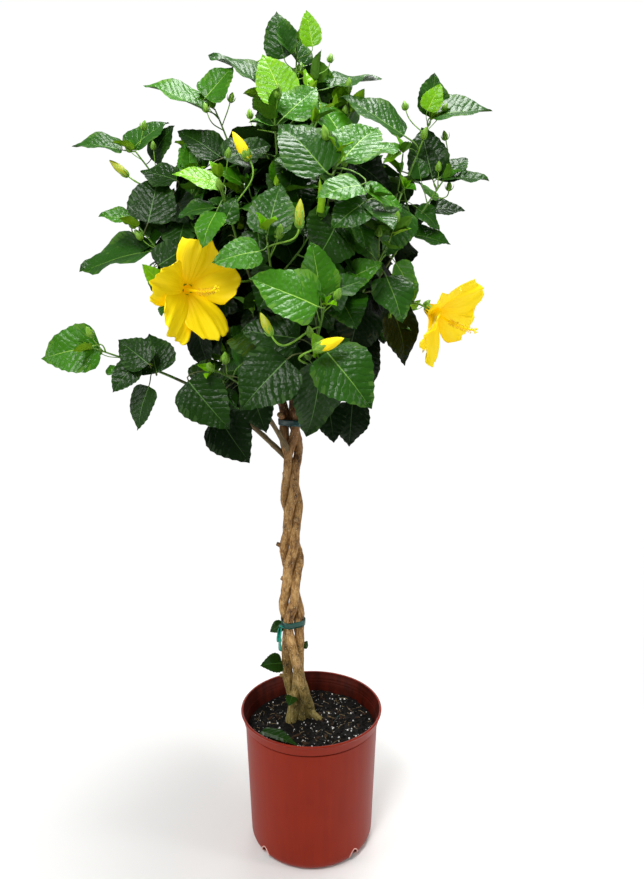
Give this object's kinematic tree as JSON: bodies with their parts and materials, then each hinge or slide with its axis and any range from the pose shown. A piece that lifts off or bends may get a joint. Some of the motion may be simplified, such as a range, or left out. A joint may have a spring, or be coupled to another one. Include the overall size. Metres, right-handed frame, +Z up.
{
  "type": "plaited hibiscus tree in a pot",
  "caption": "Hibiscus grown as a small standard tree: plaited trunk, round leafy head with yellow flowers, standing in a terracotta-red nursery pot.",
  "frame": {"origin": "middle of the pot's flat underside", "axes": "+Z up along the trunk, -Y towards the front, +X to the right seen from the front"},
  "size_m": [0.6961, 0.7037, 1.4224],
  "materials": {
    "pot_plastic": "satin, moulded terracotta-red nursery pot plastic",
    "potting_mix": "damp dark potting mix with bark chips and white perlite",
    "bark": "dull tan bark with fine ridges, knots and pores",
    "tie_tape": "thin stretch tie tape, soft gloss",
    "foliage": "glossy quilted upper side, dull paler underside",
    "petals": "thin matt petals with faint veins"
  },
  "bodies": {
    "root": {"bough_back_left": "bark", "bough_back_left_low": "bark", "bough_back_low": "bark", "bough_back_middle": "bark", "bough_back_right": "bark", "bough_back_right_low": "bark", "bough_back_top": "bark", "bough_front_foot": "bark", "bough_front_left": "bark", "bough_front_low": "bark", "bough_front_middle": "bark", "bough_front_right": "bark", "bough_front_upper": "bark", "bough_left_foot": "bark", "bough_left_low": "bark", "bough_left_middle": "bark", "bough_left_upper": "bark", "bough_right_low": "bark", "bough_right_middle": "bark", "bough_right_upper": "bark", "bough_top": "bark", "bough_top_front": "bark", "bough_top_left": "bark", "bough_top_right": "bark", "bud_front": "petals", "bud_upper": "petals", "flower_left": "petals", "flower_right": "petals", "leaves_back_left": "foliage", "leaves_back_left_low": "foliage", "leaves_back_low": "foliage", "leaves_back_middle": "foliage", "leaves_back_right": "foliage", "leaves_back_right_low": "foliage", "leaves_back_top": "foliage", "leaves_front_foot": "foliage", "leaves_front_left": "foliage", "leaves_front_low": "foliage", "leaves_front_middle": "foliage", "leaves_front_right": "foliage", "leaves_front_upper": "foliage", "leaves_left_foot": "foliage", "leaves_left_low": "foliage", "leaves_left_middle": "foliage", "leaves_left_upper": "foliage", "leaves_right_low": "foliage", "leaves_right_middle": "foliage", "leaves_right_upper": "foliage", "leaves_top": "foliage", "leaves_top_front": "foliage", "leaves_top_left": "foliage", "leaves_top_right": "foliage", "pot": "pot_plastic", "potting_mix": "potting_mix", "sprout_foot": "foliage", "strand_back": "bark", "strand_front": "bark", "strand_left": "bark", "tie_lower": "tie_tape", "tie_upper": "tie_tape"}
  },
  "joints": []
}
